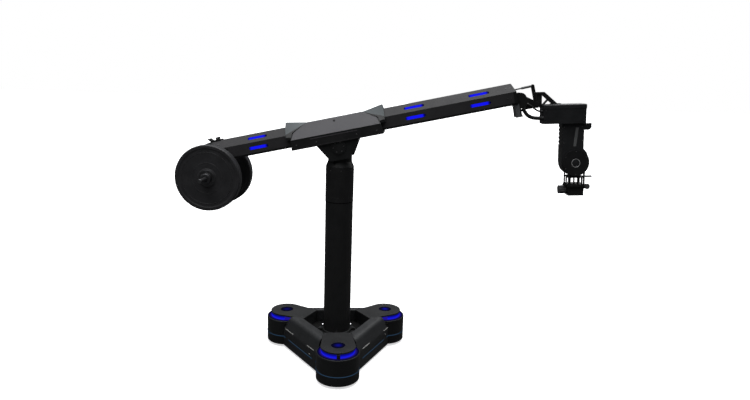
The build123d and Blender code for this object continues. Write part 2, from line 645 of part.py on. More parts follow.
def nose_clevis():
    """Boom end casting: plug, curved cheeks to the nose pin and the grey cable bracket below."""
    s, h = nose_local()
    plug = section(boom_points(BOOM_WALL + 0.3), BOOM_FRONT - 90, BOOM_FRONT + 1)
    plug -= block(BOOM_FRONT - 100, BOOM_FRONT + 10, -24, 24, 70, 186)
    cap = section(boom_points(), BOOM_FRONT, BOOM_FRONT + CAP_L)
    cap &= side_plate([(BOOM_FRONT, 0), (BOOM_FRONT, BOOM_RIDGE), (BOOM_FRONT + CAP_L, BOOM_EAVE),
                       (BOOM_FRONT + CAP_L, 0)], -90, 90)
    cap -= block(BOOM_FRONT - 1, BOOM_FRONT + CAP_L + 1, -24, 24, 82, 186)
    casting = plug + cap
    for side in (-1, 1):
        y0, y1 = (CHEEK_IN, CHEEK_IN + CHEEK_T) if side > 0 else (-CHEEK_IN - CHEEK_T, -CHEEK_IN)
        cheek = side_plate([(BOOM_FRONT + 5, 66), (BOOM_FRONT + 5, 122), (BOOM_FRONT + 46, 122), (s, h + 20),
                            (s, h - 20), (BOOM_FRONT + 72, 8), (BOOM_FRONT + 40, 22)], y0, y1)
        cheek += rod_y(22, y0, y1, s, h) + rod_y(42, y0, y1, BOOM_FRONT + 46, 84)
        casting += cheek
    casting += block(BOOM_FRONT + 5, BOOM_FRONT + 40, -CHEEK_IN - 1, CHEEK_IN + 1, 58, 68)
    back, front = BOOM_FRONT + 1, BOOM_FRONT + 29
    bracket = block(back, front, -58, 58, -28, BOOM_LOW - BOOM_CHAMFER + 4) \
        - block(back + 6, front + 1, -50, 50, -20, 40)
    casting += bracket + block(back, front + 16, -58, 58, -34, -26)
    for y0, y1 in ((-44, -31), (31, 44)):
        casting += block(front, front + 12, y0, y1, -30, 30)
    return casting - rod_y(NOSE_PIN_R + 0.05, -80, 80, s, h)


def cable_points(route):
    """The points of a cable: those by the boom as given, those by the head moved with it."""
    a = radians(NOSE_LEAN)
    points = [(x, CABLE_Y, z) for x, z in route[0]]
    for x, z in route[1]:
        dx, dz = x - NOSE_X, z - NOSE_Z
        points.append((NOSE_X + dx * cos(a) - dz * sin(a), CABLE_Y, NOSE_Z + dx * sin(a) + dz * cos(a)))
    return points


def cable_boss(route, radius, length):
    """A short sleeve round the first run of a cable."""
    start, second = [Vector(*point) for point in cable_points(route)[:2]]
    return Plane(origin=start, z_dir=second - start) * (Pos(0, 0, length / 2 - 4) * Cylinder(radius, length))


def tie_rod():
    """Level rod from the column post to the nose lever, parallel to the line of the two pivots."""
    length = sqrt(NOSE_X ** 2 + (NOSE_Z - PIVOT_Z) ** 2)
    rise = degrees(acos(NOSE_X / length))
    bar = Pos(length / 2, 0, 0) * (Rot(0, 90, 0) * Cylinder(5, length - 18))
    bar += Pos(length - 42, 0, 0) * (Rot(0, 90, 0) * Cylinder(8, 66))
    bar += rod_y(14, -7, 7) + rod_y(11, -7, 7, length, 0)
    bar -= rod_y(6.06, -20, 20) + rod_y(ROD_EYE_R + 0.3, -20, 20, length, 0)
    a = radians(LEVER_LEAN)
    return Pos(-LEVER * sin(a), 0, PIVOT_Z + LEVER * cos(a)) * (Rot(0, -rise, 0) * bar)


def bar_between(x0, z0, x1, z1, half, y0, y1):
    """A flat bar between two points of the XZ plane."""
    dx, dz = x1 - x0, z1 - z0
    size = sqrt(dx * dx + dz * dz)
    ox, oz = -dz / size * half, dx / size * half
    return side_plate([(x0 + ox, z0 + oz), (x1 + ox, z1 + oz), (x1 - ox, z1 - oz), (x0 - ox, z0 - oz)], y0, y1)


def level_lever():
    """Twin-plate lever from the nose pivot up to the front eye of the level rod."""
    top = NOSE_Z + LEVER
    lever = rod_y(ROD_EYE_R, -19, 19, NOSE_X, top)
    for y0, y1 in ((9, 15), (-15, -9)):
        lever += block(NOSE_X - 10, NOSE_X + 10, y0, y1, NOSE_Z, top) + rod_y(10, y0, y1, NOSE_X, top)
    return leaned(lever, NOSE_X, NOSE_Z, LEVER_LEAN)


def nose_frame():
    """Upright block, top bar, diagonal stay and brace that hang the head from the nose pivot."""
    low, high = NOSE_Z - 17, NOSE_Z + 82
    upright = block(1317, 1359, -28, 28, low, high)
    for y0, y1 in ((-29, -22), (22, 29)):
        upright -= block(1325, 1351, y0, y1, NOSE_Z + 26, high - 14)
    frame = upright + rod_y(22, -28, 28, NOSE_X, NOSE_Z)
    frame += rod_y(NOSE_PIN_R, -CHEEK_IN - CHEEK_T - 4, CHEEK_IN + CHEEK_T + 4, NOSE_X, NOSE_Z)
    frame += block(1330, 1366, -28, 28, low, low + 20)
    for side in (-1, 1):
        y0, y1 = sorted((side * 14, side * 28))
        b0, b1 = sorted((side * 17, side * 25))
        frame += block(1319, 1377, y0, y1, high - 15, high)
        frame += bar_between(1368, high - 8, 1464, BOX_LID_TOP - 12, 11, y0, y1)
        frame += bar_between(1410, 1908, 1362, low + 4, 3, b0, b1)
    frame -= block(BOX_X0 - 2, 1520, -40, 40, 1800, BOX_LID_TOP)
    frame += block(1424, 1486, -30, 30, BOX_LID_TOP, BOX_LID_TOP + 5)
    frame += block(1361, BOX_X0, -30, 30, BOX_Z0 + 46, BOX_Z1 - 2) \
        + block(1361, BOX_X0 - 1.6, -30, 30, BOX_Z1 - 4, low + 10)
    return hung(frame) + level_lever()


def rounded_box(x0, x1, half_y, z0, z1, corner):
    body = block(x0, x1, -half_y, half_y, z0, z1)
    return fillet(body.edges().filter_by(Axis.Z), corner)


def head_box():
    """Electronics case of the remote head, with two cable glands on its inner end."""
    body = rounded_box(BOX_X0, BOX_X1, BOX_HALF_Y, BOX_Z0, BOX_Z1, BOX_CORNER)
    body -= block(BOX_X0 + 5, BOX_X1 - 5, -BOX_HALF_Y + 5, BOX_HALF_Y - 5, BOX_Z0 + 6, BOX_Z1 + 1)
    body += rod_z(46, BOX_Z0 + 5, BOX_Z0 + 30, PAN_X)
    body -= rod_z(18.06, BOX_Z0 - 1, BOX_Z0 + 31, PAN_X)
    for route, width in ((LOWER_ROUTE, LOWER_D), (UPPER_ROUTE, UPPER_D)):
        z = route[1][-1][1]
        gland = Pos(BOX_X0 - 5, CABLE_Y, z) * (Rot(0, 90, 0) * Cylinder(width / 2 + 4, 18))
        body += gland - block(BOX_X0 + 3, BOX_X0 + 30, -BOX_HALF_Y, BOX_HALF_Y, BOX_Z0, BOX_Z1)
        body -= Pos(BOX_X0 - 5, CABLE_Y, z) * (Rot(0, 90, 0) * Cylinder(width / 2 + 0.1, 30))
    return body


def head_lid():
    """Raised lid of the case with rounded edges."""
    grow = 1.5
    body = rounded_box(BOX_X0 - grow, BOX_X1 + grow, BOX_HALF_Y + grow, BOX_Z1 + 0.2, BOX_LID_TOP - 0.2,
                       BOX_CORNER)
    body = fillet(body.faces().sort_by(Axis.Z)[-1].edges(), 9)
    return body - block(BOX_X0 + 5, BOX_X1 - 5, -BOX_HALF_Y + 5, BOX_HALF_Y - 5, BOX_Z1, BOX_LID_TOP - 8)


def arm_outline(inset):
    """Side outline of the hanging arm: a straight case with a shoulder over the round tilt case."""
    x0, x1, top = ARM_X0 + inset, ARM_X1 - inset, ARM_TOP_Z - inset
    body = side_plate([(x0, TILT_Z), (x0, top), (x1, top), (x1, TILT_Z + 96), (TILT_X + 72 - inset, TILT_Z + 70),
                       (TILT_X + ARM_DISC_R - 4 - inset, TILT_Z + 26), (TILT_X + 60, TILT_Z)],
                      -ARM_HALF_Y + inset, ARM_HALF_Y - inset)
    return body + rod_y(ARM_DISC_R - inset, -ARM_HALF_Y + inset, ARM_HALF_Y - inset, TILT_X, TILT_Z)


def arm_housing():
    """Hanging arm: hollow case that ends in a round tilt case, with grip notches and a lug."""
    arm = arm_outline(0) - arm_outline(ARM_WALL)
    arm += rod_z(18.0, ARM_TOP_Z - 8, BOX_Z0 + 34, PAN_X) + rod_z(52, ARM_TOP_Z - 8, BOX_Z0 - 0.5, PAN_X)
    arm += rod_y(34, -ARM_HALF_Y, ARM_HALF_Y, TILT_X, TILT_Z)
    for step in range(5):
        z = ARM_TOP_Z - 24 - 27 * step
        arm -= block(ARM_X0 - 1, ARM_X0 + 4, -60, 60, z - 11, z)
    lug = block(ARM_X1 - 4, ARM_X1 + 58, -14, 14, ARM_TOP_Z - 44, ARM_TOP_Z)
    corner = lug.edges().filter_by(Axis.Y).sort_by(lambda e: e.center().X - e.center().Z)[-1]
    arm += fillet(corner, 22)
    return arm - rod_y(20.05, -80, 80, TILT_X, TILT_Z)


def arm_trim():
    """Light stripe and ring on both sides of the arm."""
    pieces = []
    for side in (-1, 1):
        y0, y1 = sorted((side * ARM_HALF_Y, side * (ARM_HALF_Y + 1.2)))
        pieces.append(side_plate([(1569, 1584), (1588, 1584), (1601, 1710), (1582, 1710)], y0, y1))
    return group(pieces)


def cradle_frame():
    """Tilt shaft, side straps, top plate, damper posts and the clamp block over the camera plate."""
    y_out = CRADLE_Y + CRADLE_T
    top, low = TILT_Z - ARM_DISC_R - 3, TILT_Z - 150
    frame = rod_y(20, -CRADLE_Y - 1, CRADLE_Y + 1, TILT_X, TILT_Z)
    for side in (-1, 1):
        y0, y1 = sorted((side * CRADLE_Y, side * y_out))
        frame += rod_y(TILT_COVER_R, y0, y1, TILT_X, TILT_Z)
        for x0, x1 in ((CRADLE_X0, CRADLE_X0 + 9), (CRADLE_X1 - 11, CRADLE_X1)):
            frame += block(x0, x1, y0, y1, low - 14, TILT_Z - 55)
    frame += block(CRADLE_X0, CRADLE_X1, -y_out, y_out, top - 6, top)
    for step in range(4):
        for y in (-POST_Y, POST_Y):
            frame += rod_z(POST_R, low - 4, top - 4, CRADLE_X0 + 16 + POST_PITCH * step, y)
    frame += block(CRADLE_X0, CRADLE_X1, -60, 60, low - 14, low)
    frame += block(CRADLE_X0 + 4, CRADLE_X1, -46, 46, PLATE_Z + 29, low - 12)
    frame += block(CRADLE_X0 - 26, CRADLE_X0 + 4, -40, -14, low - 6, low + 2)
    frame += rod_z(10, low - 4, low + 12, CRADLE_X0 - 15, -27)
    frame += Pos(CRADLE_X1 + 14, -CRADLE_Y - 4, TILT_Z - 92) * (Rot(0, 90, 0) * Cylinder(6, 62))
    frame += block(CRADLE_X1 - 6, CRADLE_X1 + 36, -38, -28, SIDE_KNOB_Z - 16, SIDE_KNOB_Z + 16)
    frame -= Pos(CRADLE_X0, 0, PLATE_Z + 38) * (Rot(0, 90, 0) * Cylinder(6.05, 60))
    return frame - rod_y(5.05, -60, 0, CRADLE_X1 + SIDE_KNOB_X, SIDE_KNOB_Z)


def camera_plate():
    """Quick-release camera plate with its two threaded holes, facing down."""
    plate = block(CRADLE_X0 + 6, CRADLE_X1, -46, 46, PLATE_Z, PLATE_Z + 28.9)
    plate = fillet(plate.edges().filter_by(Axis.Z), 5)
    plate -= block(CRADLE_X0, CRADLE_X1 + 10, -30, 30, PLATE_Z + 12, PLATE_Z + 30)
    for x, radius in camera_holes():
        plate -= rod_z(radius, PLATE_Z - 1, PLATE_Z + 20, x)
    return plate


def camera_holes():
    """Places and radii of the 3/8 inch and 1/4 inch camera screws' holes."""
    return (TILT_X - 8, 4.76), (TILT_X + 34, 3.18)


def knob(radius, length, stem, stem_length):
    """A fluted knob along -Y with a stem along +Y."""
    body = rod_y(radius, -length, 0)
    for step in range(10):
        a = radians(36 * step)
        body -= rod_y(radius * 0.14, -length - 1, 1, radius * 1.02 * cos(a), radius * 1.02 * sin(a))
    return body + rod_y(stem, 0, stem_length)


def cable_radii(points):
    """The arc at each corner of a route, from nine tenths of what half the shorter run allows."""
    vectors = [Vector(*p) for p in points]
    radii = []
    for a, b, c in zip(vectors, vectors[1:], vectors[2:]):
        turn = radians((b - a).get_angle(c - b))
        radii.append(0.45 * min((b - a).length, (c - b).length) / tan(turn / 2))
    return radii


def cable(name, route, width):
    """A cable held at both ends: straight runs joined by tangent arcs."""
    points = cable_points(route)
    radii = cable_radii(points)
    path = FilletPolyline(*points, radius=radii)
    start = Plane(origin=path @ 0, z_dir=path % 0)
    tube = sweep(start * Circle(width / 2), path=path)
    length = path.length
    print(name, "radii", [round(r) for r in radii], "length", round(length, 1),
          "volume ratio", round(tube.volume / (pi * width ** 2 / 4 * length), 4))
    keep(name, tube)


# ---- build ------------------------------------------------------------------------------------
def build_base():
    keep("chassis_frame", chassis_frame())
    for name, angle in POD_ANGLES.items():
        keep("pod_housing_" + name, pod_housing(angle))
        keep("lid_" + name, lid(angle))
        x, y = POD_REACH * cos(radians(angle)), POD_REACH * sin(radians(angle))
        keep("fork_" + name, Pos(x, y, 0) * drive_fork())
        keep("hub_" + name, Pos(x, y, 0) * wheel_hub())
        keep("tyre_" + name, Pos(x, y, 0) * tyre())
    for name, angle in BEAM_ANGLES.items():
        keep("beam_cover_" + name, beam_cover(angle))
    keep("base_lights", base_lights())
    keep("well_floor", well_floor())
    keep("column_flange", column_flange())
    keep("flange_studs", flange_studs())
    battery = block(212, 284, -120, 120, 40, 130)
    keep("battery_pack", turned(battery, BEAM_ANGLES["rear"]))
    controller = block(214, 276, -110, 110, 60, 130)
    keep("drive_controller", turned(controller, BEAM_ANGLES["left"]))


def build_column():
    tube = rod_z(COLUMN_R, COLUMN_FOOT_Z, DRUM_Z - 1) - rod_z(COLUMN_R - COLUMN_WALL, 100, DRUM_Z)
    keep("column_tube", tube)
    bearing = rod_z(COLUMN_R - COLUMN_WALL, DRUM_Z - 30, DRUM_Z - 1) \
        + rod_z(70, DRUM_Z - 1, DRUM_Z + 40) - rod_z(50, DRUM_Z - 40, DRUM_Z + 60)
    keep("pan_bearing", bearing)
    drum = rod_z(DRUM_R, DRUM_Z, SHOULDER_Z) - rod_z(DRUM_R - 9, DRUM_Z - 1, SHOULDER_Z - 20) \
        - rod_z(58, SHOULDER_Z - 30, SHOULDER_Z + 1)
    drum += rod_z(DRUM_R - 8.5, DRUM_Z + 4, DRUM_Z + 36) - rod_z(70.05, DRUM_Z, DRUM_Z + 40)
    keep("pan_drum", drum)
    keep("column_head", column_head())
    keep("pivot_bushes", pivot_bushes())


def build_boom():
    keep("saddle_frame", raised(saddle_frame()))
    keep("housing_shell_front", raised(housing_shell(-1)))
    keep("housing_shell_rear", raised(housing_shell(1)))
    keep("top_plates", raised(top_plates()))
    keep("fairing_front", raised(end_fairing(1)))
    keep("fairing_rear", raised(end_fairing(-1)))
    keep("boom_tube_rear", raised(boom_tube(BOOM_REAR, -TUBE_ROOT, LIGHT_STATIONS[:1])))
    keep("boom_tube_front", raised(boom_tube(TUBE_ROOT, BOOM_FRONT, LIGHT_STATIONS[1:])))
    keep("boom_lights", raised(boom_lights()))
    keep("pivot_shaft", raised(pivot_shaft()))
    keep("pivot_caps", raised(pivot_caps()))
    keep("pivot_screws", raised(pivot_screws()))
    keep("weight_bracket", raised(weight_bracket()))
    keep("weight_rod", raised(weight_rod()))
    keep("weight_front", raised(weight_plate(-1)))
    keep("weight_rear", raised(weight_plate(1)))
    keep("weight_collars", raised(weight_collars()))
    clevis = raised(nose_clevis())
    for route, width in ((LOWER_ROUTE, LOWER_D), (UPPER_ROUTE, UPPER_D)):
        clevis += cable_boss(route, width / 2 + 4, 14)
    for route, width in ((LOWER_ROUTE, LOWER_D), (UPPER_ROUTE, UPPER_D)):
        clevis -= cable_boss(route, width / 2 + 0.1, 30)
    keep("nose_clevis", clevis)


def build_head():
    keep("tie_rod", tie_rod())
    keep("nose_frame", nose_frame())
    keep("head_box", hung(head_box()))
    keep("head_lid", hung(head_lid()))
    keep("arm_housing", hung(arm_housing()))
    keep("arm_trim", hung(arm_trim()))
    keep("cradle_frame", hung(cradle_frame()))
    keep("camera_plate", hung(camera_plate()))
    plate_knob = Pos(CRADLE_X0 - 1, 0, PLATE_Z + 38) * (Rot(0, 0, -90) * knob(29, 50, 6, 26))
    keep("plate_knob", hung(plate_knob))
    side_knob = Pos(CRADLE_X1 + SIDE_KNOB_X, -38.5, SIDE_KNOB_Z) * knob(18, 18, 5, 9)
    keep("side_knob", hung(side_knob))


def build_cables():
    cable("cable_lower", LOWER_ROUTE, LOWER_D)
    cable("cable_upper", UPPER_ROUTE, UPPER_D)


def main():
    os.makedirs("parts", exist_ok=True)
    build_base()
    build_column()
    build_boom()
    build_head()
    build_cables()
    for name, shape in nodes.items():
        export_step(shape, "parts/" + name + ".step")
    print(len(nodes), "nodes")


main()
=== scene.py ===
import json
from math import cos, degrees, hypot, pi, radians, sin

import bmesh
import bpy
from mathutils import Matrix, Vector


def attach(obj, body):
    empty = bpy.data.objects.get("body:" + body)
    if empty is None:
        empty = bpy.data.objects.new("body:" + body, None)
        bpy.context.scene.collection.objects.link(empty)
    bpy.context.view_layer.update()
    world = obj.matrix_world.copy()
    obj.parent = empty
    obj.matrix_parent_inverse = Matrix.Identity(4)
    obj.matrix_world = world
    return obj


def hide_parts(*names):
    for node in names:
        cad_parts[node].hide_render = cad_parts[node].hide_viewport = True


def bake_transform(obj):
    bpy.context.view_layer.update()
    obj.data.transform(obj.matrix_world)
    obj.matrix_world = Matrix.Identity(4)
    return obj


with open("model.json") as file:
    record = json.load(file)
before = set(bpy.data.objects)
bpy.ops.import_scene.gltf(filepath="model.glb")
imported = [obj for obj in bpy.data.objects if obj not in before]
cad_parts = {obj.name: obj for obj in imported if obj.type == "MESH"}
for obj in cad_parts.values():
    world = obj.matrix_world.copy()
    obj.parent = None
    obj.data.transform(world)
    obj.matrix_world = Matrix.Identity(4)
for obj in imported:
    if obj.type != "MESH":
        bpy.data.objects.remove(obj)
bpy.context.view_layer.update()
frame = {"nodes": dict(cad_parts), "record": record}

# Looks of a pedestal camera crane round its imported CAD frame. Metres, +Z up, +X along the boom.

NODES = frame["nodes"]
JOINTS = {joint["name"]: joint for joint in frame["record"]["behaviour"]["joints"]}
MM = 0.001

scene = bpy.context.scene
scene.view_settings.view_transform = "Standard"
scene.view_settings.look = "None"


# ---- places taken from the record ---------------------------------------------------------------
def joint_place(name):
    return Vector(JOINTS[name]["pos_m"])


PIVOT = joint_place("boom_tilt")
NOSE = joint_place("nose_level")
PAN_UP = Vector(JOINTS["head_pan"]["axis"]).normalized()
LEAN = Vector((PAN_UP.z, 0, -PAN_UP.x))
PODS = {name: joint_place("steer_" + name) for name in ("front", "right", "left")}
BOOM_ANGLE = radians(12.8)      # slope of the boom at rest
BOOM_X = Vector((cos(BOOM_ANGLE), 0, sin(BOOM_ANGLE)))
BOOM_Z = Vector((-sin(BOOM_ANGLE), 0, cos(BOOM_ANGLE)))
SIDE = Vector((0, 1, 0))
UP = (0, 0, 1)

# Places in millimetres, each in its own frame: the base, the boom's axis or the upright head.
BASE_YAW = 8.4
POD_REACH = 439
LID_FACE_Z = 244.9
DECK_Z = 203.3
LINER_Z = 186
DRUM_FACE = 0.0993              # metres
WEIGHT_S, WEIGHT_H = -930, -38
WEIGHT_FACE_Y = 175
COLLAR_FACE_Y = 205.2
ROOF_EAVE_Y, ROOF_EAVE_H = 120, 102
ROOF_RUN, ROOF_RISE = 88.0, 97.0
FACET_RUN, FACET_RISE = 45.0, 55.0
NOSE_X, NOSE_Z = 1325, 1868
TILT_X, TILT_Z = 1587, 1472
CABLE_Y = -0.052                # metres
FLOOR_HALF = 60.0               # metres

# Lines of paint, of painted shade and of lamp light on the boom, in metres from its pivot.
# The line below which the fairings carry painted shade: black in place of the shade on their lower side
# walls.
FAIRING_SHADE_START = 0.204
FAIRING_SHADE_TOP = 0.199
FAIRING_SHADE_SLOPE = 0.37
BRACKET_TOP = 0.052
BRACKET_END = 1.248
SLOT_MIDDLES = (-0.557, 0.549, 0.989)


def on_boom(s, y, h):
    """A point given in millimetres along, across and above the boom's own axis."""
    return PIVOT + BOOM_X * (s * MM) + SIDE * (y * MM) + BOOM_Z * (h * MM)


def on_head(x, y, z):
    """A point in millimetres drawn upright about the nose pivot, where it hangs."""
    return NOSE + LEAN * ((x - NOSE_X) * MM) + SIDE * (y * MM) + PAN_UP * ((z - NOSE_Z) * MM)


def on_base(angle, reach, across, z):
    """A point in millimetres out from the column axis at an angle in degrees."""
    a = radians(angle)
    return Vector((reach * cos(a) - across * sin(a), reach * sin(a) + across * cos(a), z)) * MM


POD_ANGLE = {name: degrees(Vector((1, 0)).angle_signed(place.xy) * -1) for name, place in PODS.items()}
BEAM_ANGLE = {"right": POD_ANGLE["right"] - 60, "rear": POD_ANGLE["right"] + 60,
              "left": POD_ANGLE["left"] + 60}


# ---- materials --------------------------------------------------------------------------------
class Graph:
    """Short words for building one material's node tree."""

    def __init__(self, name):
        self.material = bpy.data.materials.new(name)
        self.material.use_nodes = True
        self.tree = self.material.node_tree
        self.tree.nodes.clear()
        self.out = self.tree.nodes.new("ShaderNodeOutputMaterial")
        self.shader = self.tree.nodes.new("ShaderNodeBsdfPrincipled")
        self.tree.links.new(self.shader.outputs[0], self.out.inputs["Surface"])

    def node(self, kind, **settings):
        made = self.tree.nodes.new("ShaderNode" + kind)
        for key, value in settings.items():
            if hasattr(made, key):
                setattr(made, key, value)
            else:
                made.inputs[key].default_value = value
        return made

    def link(self, source, target):
        self.tree.links.new(source, target)

    def coords(self, stretch=(1, 1, 1)):
        place = self.node("TexCoord")
        scale = self.node("Mapping")
        scale.inputs["Scale"].default_value = stretch
        self.link(place.outputs["Object"], scale.inputs["Vector"])
        return scale.outputs["Vector"]

    def noise(self, coords, size, detail=3.0, roughness=0.55):
        made = self.node("TexNoise", Scale=1 / size, Detail=detail, Roughness=roughness)
        self.link(coords, made.inputs["Vector"])
        return made.outputs["Fac"]

    def span(self, value, low, high, to_low, to_high, smooth=True):
        made = self.node("MapRange", interpolation_type="SMOOTHSTEP" if smooth else "LINEAR")
        for key, number in zip(("From Min", "From Max", "To Min", "To Max"), (low, high, to_low, to_high)):
            made.inputs[key].default_value = number
        self.link(value, made.inputs["Value"])
        return made.outputs["Result"]

    def math(self, operation, a, b=None):
        made = self.node("Math", operation=operation)
        for place, value in enumerate((a, b)):
            if value is None:
                continue
            if isinstance(value, (int, float)):
                made.inputs[place].default_value = value
            else:
                self.link(value, made.inputs[place])
        return made.outputs[0]

    def blend(self, factor, a, b):
        made = self.node("Mix", data_type="RGBA")
        for place, value in ((0, factor), (6, a), (7, b)):
            if isinstance(value, tuple):
                made.inputs[place].default_value = (*value, 1)
            else:
                self.link(value, made.inputs[place])
        return made.outputs[2]

    def edges(self, radius):
        """1 on an edge or corner, 0 on a flat, and the rounded normal."""
        round_normal = self.node("Bevel", samples=4)
        round_normal.inputs["Radius"].default_value = radius
        flat = self.node("NewGeometry")
        dot = self.node("VectorMath", operation="DOT_PRODUCT")
        self.link(round_normal.outputs[0], dot.inputs[0])
        self.link(flat.outputs["Normal"], dot.inputs[1])
        return self.span(dot.outputs["Value"], 0.995, 0.86, 0.0, 1.0), round_normal.outputs[0]

    def bump(self, height, strength, distance, normal=None):
        made = self.node("Bump", Strength=strength, Distance=distance)
        self.link(height, made.inputs["Height"])
        if normal is not None:
            self.link(normal, made.inputs["Normal"])
        return made.outputs[0]


def scaled(color, factor):
    return tuple(min(1.0, c * factor) for c in color)


def surface(name, color, rough, spec=0.3, metal=0.0, grain=1.2, bump=0.25, depth=0.15, blotch=90.0,
            vary=0.18, rough_vary=0.07, edge=1.2, wear=1.6, wear_rough=-0.08, stretch=(1, 1, 1), dust=0.0,
            paint=None):
    """A coated, moulded or machined surface: grain, soft blotches, edge wear and a little dust on top, and
    a hook for two-tone paint or painted shade.
    """
    g = Graph(name)
    plain = g.coords()
    fine = g.noise(g.coords(stretch), grain * MM, 2.0)
    broad = g.noise(plain, blotch * MM, 4.0, 0.6)
    scuff = g.noise(plain, 14 * MM, 5.0, 0.7)
    shade = g.blend(g.span(broad, 0.3, 0.7, 0, 1), scaled(color, 1 - vary), scaled(color, 1 + vary))
    shade = g.blend(g.span(fine, 0.35, 0.75, 0, 0.5), shade, scaled(color, 1 + 1.6 * vary))
    # The hook paints two-tone colour, and on the fairings painted shade.
    if paint:
        shade = paint(g, shade)
    mask, rounded = g.edges(edge * MM)
    worn = g.math("MULTIPLY", mask, g.span(scuff, 0.38, 0.66, 0.25, 1.0))
    shade = g.blend(worn, shade, scaled(color, wear))
    if dust:
        up = g.node("NewGeometry")
        height = g.node("SeparateXYZ")
        g.link(up.outputs["Normal"], height.inputs[0])
        settled = g.math("MULTIPLY", g.span(height.outputs["Z"], 0.5, 0.95, 0, dust),
                         g.span(scuff, 0.3, 0.7, 0.4, 1))
        shade = g.blend(settled, shade, (0.22, 0.22, 0.23))
    g.link(shade, g.shader.inputs["Base Color"])
    gloss = g.math("ADD", g.span(broad, 0.25, 0.75, rough - rough_vary, rough + rough_vary),
                   g.math("MULTIPLY", worn, wear_rough))
    gloss = g.math("ADD", gloss, g.span(scuff, 0.3, 0.7, -0.03, 0.03))
    g.link(gloss, g.shader.inputs["Roughness"])
    g.link(g.bump(fine, bump, depth * MM, rounded), g.shader.inputs["Normal"])
    g.shader.inputs["Metallic"].default_value = metal
    g.shader.inputs["Specular IOR Level"].default_value = spec
    return g.material


def glow_material(name, color, strength, falloff, line_color=None):
    """A lit diffuser, or a sheet of painted light: falloff(graph) gives its brightness from 0 to 1 over
    the piece.
    """
    g = Graph(name)
    level = falloff(g)
    grain = g.span(g.noise(g.coords(), 3 * MM, 2.0), 0.3, 0.7, 0.92, 1.06)
    tint = g.blend(g.span(level, 0.2, 1.0, 0, 1), scaled(color, 0.55), color)
    if line_color:
        height = g.node("SeparateXYZ")
        g.link(g.coords(), height.inputs[0])
        tint = g.blend(g.math("LESS_THAN", height.outputs["Z"], 0.12), tint, line_color)
    g.link(tint, g.shader.inputs["Emission Color"])
    g.link(g.math("MULTIPLY", g.math("MULTIPLY", level, grain), strength),
           g.shader.inputs["Emission Strength"])
    g.link(g.blend(grain, (0.001, 0.001, 0.006), (0.002, 0.002, 0.010)), g.shader.inputs["Base Color"])
    g.shader.inputs["Roughness"].default_value = 0.35
    g.shader.inputs["Specular IOR Level"].default_value = 0.0
    return g.material


def boom_place(g, axis):
    """Distance in metres from the boom pivot along one of the boom's axes."""
    dot = g.node("VectorMath", operation="DOT_PRODUCT")
    dot.inputs[1].default_value = axis
    g.link(g.coords(), dot.inputs[0])
    return g.math("SUBTRACT", dot.outputs["Value"], PIVOT.dot(axis))


def fairing_painted_shade(g, shade):
    """Grey above a line that falls towards the outer end; below it, black painted shade in place of the
    shade on a lower side wall.
    """
    along = g.math("ABSOLUTE", boom_place(g, BOOM_X))
    past_roof = g.math("SUBTRACT", along, FAIRING_SHADE_START)
    line = g.math("SUBTRACT", FAIRING_SHADE_TOP, g.math("MULTIPLY", past_roof, FAIRING_SHADE_SLOPE))
    above = g.math("SUBTRACT", boom_place(g, BOOM_Z), line)
    # Near-black below the line: painted shade of a lower side wall.
    return g.blend(g.span(above, -0.0006, 0.0006, 0, 1), (0.012, 0.0125, 0.013), shade)


def clevis_paint(g, shade):
    """The cable bracket under the boom's front end is light grey, the casting above it black."""
    low = g.span(boom_place(g, BOOM_Z), BRACKET_TOP - MM, BRACKET_TOP + MM, 1, 0)
    near = g.span(boom_place(g, BOOM_X), BRACKET_END - MM, BRACKET_END + MM, 1, 0)
    return g.blend(g.math("MULTIPLY", low, near), shade, (0.11, 0.115, 0.12))


def boom_falloff(g):
    """Brightest at the middle of each slot, faint at its ends."""
    along = boom_place(g, BOOM_X)
    level = None
    for middle in SLOT_MIDDLES:
        away = g.math("ABSOLUTE", g.math("SUBTRACT", along, middle))
        one = g.span(away, 0.046, 0.072, 1.0, 0.03)
        one = g.math("MULTIPLY", one, g.math("LESS_THAN", away, 0.09))
        level = one if level is None else g.math("MAXIMUM", level, one)
    return level


def pod_distance(g, parts, place):
    """Distance in plan from the axis of one pod."""
    flat = g.node("CombineXYZ")
    g.link(parts.outputs["X"], flat.inputs[0])
    g.link(parts.outputs["Y"], flat.inputs[1])
    far = g.node("VectorMath", operation="DISTANCE")
    far.inputs[1].default_value = (place.x, place.y, 0)
    g.link(flat.outputs[0], far.inputs[0])
    return far.outputs["Value"]


def base_falloff(g):
    """Rings under the lids, dimmed towards the lid as painted shadow, blurred lamps in the lids and a dim
    line round the base.
    """
    coords = g.coords()
    parts = g.node("SeparateXYZ")
    g.link(coords, parts.inputs[0])
    z = parts.outputs["Z"]
    line = g.math("MULTIPLY", g.math("LESS_THAN", z, 0.12), 0.085)
    ring = g.math("MULTIPLY", g.math("GREATER_THAN", z, 0.12), g.math("LESS_THAN", z, 0.2365))
    # The ring dims towards the lid above it: painted shadow of the lid.
    ring = g.math("MULTIPLY", ring, g.span(z, 0.203, 0.233, 1.0, 0.35))
    lamp_zone = g.math("GREATER_THAN", z, 0.2365)
    lamp = None
    for pod, brightness in (("front", 0.42), ("right", 0.55), ("left", 0.22)):
        far = pod_distance(g, parts, PODS[pod])
        one = g.span(far, 0.0, 0.038, brightness, 0.0)
        one = g.math("MULTIPLY", one, g.math("LESS_THAN", far, 0.05))
        lamp = one if lamp is None else g.math("MAXIMUM", lamp, one)
    lamp = g.math("MULTIPLY", lamp, lamp_zone)
    return g.math("MAXIMUM", g.math("MAXIMUM", line, ring), lamp)


def deck_light_spill(g):
    """Painted light: the light of a pod's ring drawn as a glowing sheet, fading over the deck beside the
    lid.
    """
    parts = g.node("SeparateXYZ")
    g.link(g.coords(), parts.inputs[0])
    level = None
    for place in PODS.values():
        one = g.span(pod_distance(g, parts, place), 0.112, 0.142, 1.0, 0.0)
        level = one if level is None else g.math("MAXIMUM", level, one)
    return level


